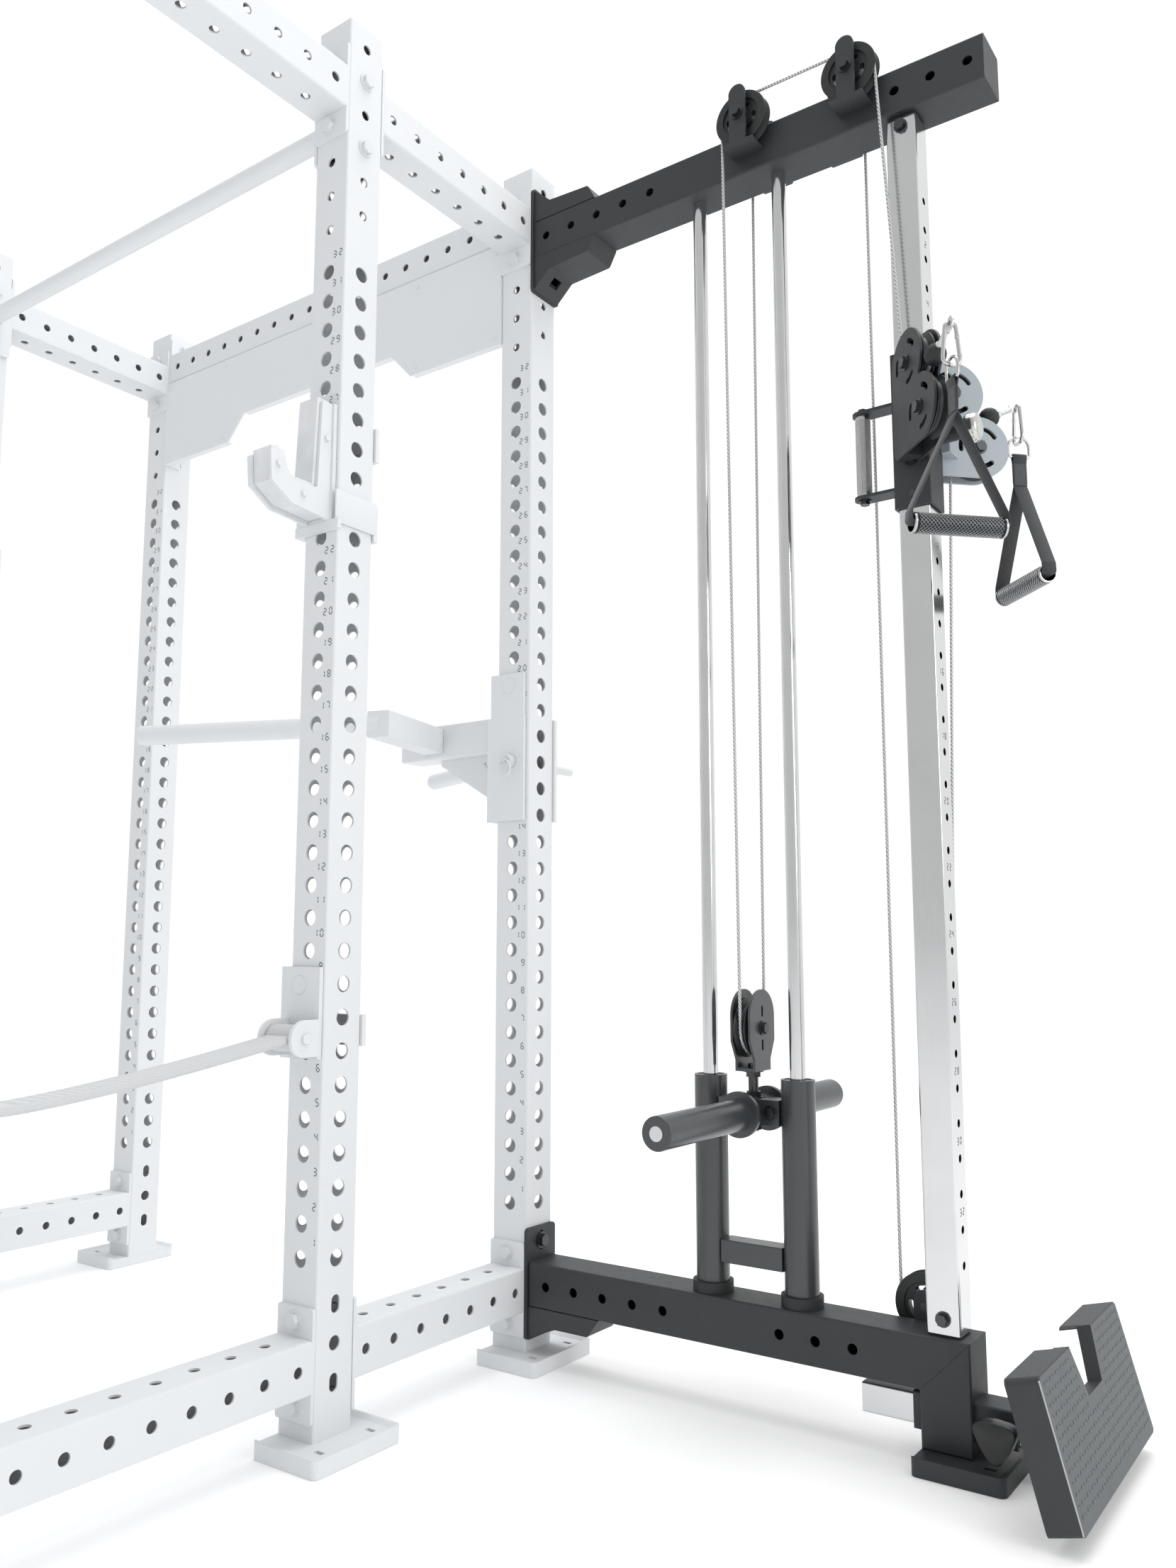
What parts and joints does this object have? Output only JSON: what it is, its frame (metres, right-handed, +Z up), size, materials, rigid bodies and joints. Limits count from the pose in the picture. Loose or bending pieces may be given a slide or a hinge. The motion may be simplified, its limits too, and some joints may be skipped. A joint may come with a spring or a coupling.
{
  "type": "power cage",
  "caption": "Square-post power cage with pull-up bar, bar hooks, strap safeties and dip bars, and a plate-loaded cable column with a sliding pulley trolley, handles and foot plate",
  "frame": {"origin": "on the floor under the axis of the right rear post", "axes": "+Z up, +X from the cage out to the cable column, -Y from the rear posts towards the front posts"},
  "size_m": [2.2631, 2.0437, 2.26],
  "materials": {
    "white_coat": "satin powder coat",
    "white_zinc": "satin",
    "white_plastic": "matt",
    "webbing_white": "woven",
    "black_coat": "fine-texture powder coat",
    "chrome": "polished",
    "rubber": "matt",
    "black_zinc": "black zinc",
    "pulley_plastic": "moulded nylon",
    "cable_coat": "nylon-coated wire rope",
    "bronze": "plain bearing",
    "zinc": "zinc plated",
    "knurled_chrome": "knurled",
    "webbing_black": "woven",
    "grey_coat": "satin powder coat"
  },
  "bodies": {
    "rack": {"rear_posts": "white_coat", "middle_posts": "white_coat", "front_posts": "white_coat", "rack_feet": "white_coat", "top_rails": "white_coat", "bottom_rails": "white_coat", "nameplate": "white_coat", "pull_up_bar": "white_coat", "rack_bolts": "white_zinc", "j_cups": "white_coat", "j_cup_liners": "white_plastic", "safety_brackets": "white_coat", "safety_straps": "webbing_white", "dip_bracket": "white_coat", "dip_bars": "white_coat", "tower_top_beam": "black_coat", "tower_bottom_beam": "black_coat", "tower_brackets": "black_coat", "guide_rods": "chrome", "rod_stops": "rubber", "column": "chrome", "pulley_brackets": "black_coat", "tower_bolts": "black_zinc", "cable_top": "cable_coat", "cable_lift": "cable_coat", "cable_high": "cable_coat", "cable_low": "cable_coat"},
    "dip_pin": {"dip_pin": "white_zinc"},
    "low_pulley": {"low_pulley": "pulley_plastic"},
    "front_pulley_inner": {"front_pulley_inner": "pulley_plastic"},
    "front_pulley_outer": {"front_pulley_outer": "pulley_plastic"},
    "rear_pulley_inner": {"rear_pulley_inner": "pulley_plastic"},
    "rear_pulley_outer": {"rear_pulley_outer": "pulley_plastic"},
    "carriage": {"carriage_frame": "black_coat", "carriage_bushings": "bronze", "weight_horns": "black_coat", "horn_caps": "zinc", "carriage_block": "black_coat", "carriage_bolts": "black_zinc"},
    "carriage_pulley": {"carriage_pulley": "pulley_plastic"},
    "trolley": {"trolley_sleeve": "black_coat", "trolley_grip": "knurled_chrome", "trolley_bolts": "black_zinc", "cable_stops": "rubber", "front_head": "black_coat", "rear_head": "grey_coat"},
    "pop_pin": {"pop_pin": "chrome"},
    "foot_plate": {"foot_plate": "black_coat", "foot_tube": "chrome"},
    "clamp_knob": {"clamp_knob": "pulley_plastic"},
    "front_head_pulley_upper": {"front_head_pulley_upper": "pulley_plastic"},
    "front_head_pulley_lower": {"front_head_pulley_lower": "pulley_plastic"},
    "front_handle": {"front_handle_hook": "chrome", "front_handle_strap": "webbing_black"},
    "front_grip": {"front_handle_grip": "knurled_chrome"},
    "rear_head_pulley_upper": {"rear_head_pulley_upper": "pulley_plastic"},
    "rear_head_pulley_lower": {"rear_head_pulley_lower": "pulley_plastic"},
    "rear_handle": {"rear_handle_hook": "chrome", "rear_handle_strap": "webbing_black"},
    "rear_grip": {"rear_handle_grip": "knurled_chrome"}
  },
  "joints": [
    {"name": "carriage_slide", "type": "slide", "parent": "rack", "child": "carriage", "axis": [0, 0, 1], "range_m": [0, 1.36], "deforming": ["cable_lift"]},
    {"name": "carriage_pulley_spin", "type": "hinge", "parent": "carriage", "child": "carriage_pulley", "pos_m": [0.4755, 0, 0.595], "axis": [1, 0, 0], "continuous": true},
    {"name": "front_pulley_inner_spin", "type": "hinge", "parent": "rack", "child": "front_pulley_inner", "pos_m": [0.517, -0.057, 2.152], "axis": [0, 1, 0], "continuous": true},
    {"name": "front_pulley_outer_spin", "type": "hinge", "parent": "rack", "child": "front_pulley_outer", "pos_m": [0.7155, -0.057, 2.152], "axis": [0, 1, 0], "continuous": true},
    {"name": "rear_pulley_inner_spin", "type": "hinge", "parent": "rack", "child": "rear_pulley_inner", "pos_m": [0.517, 0.057, 2.152], "axis": [0, 1, 0], "continuous": true},
    {"name": "rear_pulley_outer_spin", "type": "hinge", "parent": "rack", "child": "rear_pulley_outer", "pos_m": [0.651, 0.057, 2.152], "axis": [0, 1, 0], "continuous": true},
    {"name": "low_pulley_spin", "type": "hinge", "parent": "rack", "child": "low_pulley", "pos_m": [0.734, 0.057, 0.192], "axis": [0, 1, 0], "continuous": true},
    {"name": "trolley_slide", "type": "slide", "parent": "rack", "child": "trolley", "axis": [0, 0, 1], "range_m": [-1.05, 0.15], "deforming": ["cable_high", "cable_low"]},
    {"name": "pop_pin_pull", "type": "slide", "parent": "trolley", "child": "pop_pin", "axis": [1, 0, 0], "range_m": [0, 0.012], "stiffness_N_per_m": 400, "springref_m": -0.01},
    {"name": "front_head_pulley_upper_spin", "type": "hinge", "parent": "trolley", "child": "front_head_pulley_upper", "pos_m": [0.815, -0.072, 1.613], "axis": [0.7071, 0.7071, 0], "continuous": true},
    {"name": "front_head_pulley_lower_spin", "type": "hinge", "parent": "trolley", "child": "front_head_pulley_lower", "pos_m": [0.84399, -0.10099, 1.524], "axis": [0.7071, 0.7071, 0], "continuous": true},
    {"name": "front_handle_swing", "type": "hinge", "parent": "trolley", "child": "front_handle", "pos_m": [0.89471, -0.15171, 1.61924], "axis": [-0.7071, -0.7071, 0], "range_deg": [-4, 75]},
    {"name": "front_grip_spin", "type": "hinge", "parent": "front_handle", "child": "front_grip", "pos_m": [0.89471, -0.15171, 1.31654], "axis": [0.7071, 0.7071, 0], "continuous": true},
    {"name": "rear_head_pulley_upper_spin", "type": "hinge", "parent": "trolley", "child": "rear_head_pulley_upper", "pos_m": [0.815, 0.072, 1.613], "axis": [-0.7071, 0.7071, 0], "continuous": true},
    {"name": "rear_head_pulley_lower_spin", "type": "hinge", "parent": "trolley", "child": "rear_head_pulley_lower", "pos_m": [0.84399, 0.10099, 1.524], "axis": [-0.7071, 0.7071, 0], "continuous": true},
    {"name": "rear_handle_swing", "type": "hinge", "parent": "trolley", "child": "rear_handle", "pos_m": [0.89915, 0.15615, 1.60563], "axis": [0.7071, -0.7071, 0], "range_deg": [-4, 75]},
    {"name": "rear_grip_spin", "type": "hinge", "parent": "rear_handle", "child": "rear_grip", "pos_m": [0.89915, 0.15615, 1.30293], "axis": [-0.7071, 0.7071, 0], "continuous": true},
    {"name": "foot_plate_slide", "type": "slide", "parent": "rack", "child": "foot_plate", "axis": [1, 0, 0], "range_m": [-0.02, 0.12]},
    {"name": "clamp_knob_turn", "type": "hinge", "parent": "rack", "child": "clamp_knob", "pos_m": [0.868, -0.026, 0.067], "axis": [0, -1, 0], "continuous": true},
    {"name": "dip_pin_pull", "type": "slide", "parent": "rack", "child": "dip_pin", "axis": [0, -1, 0], "range_m": [0, 0.19]}
  ]
}
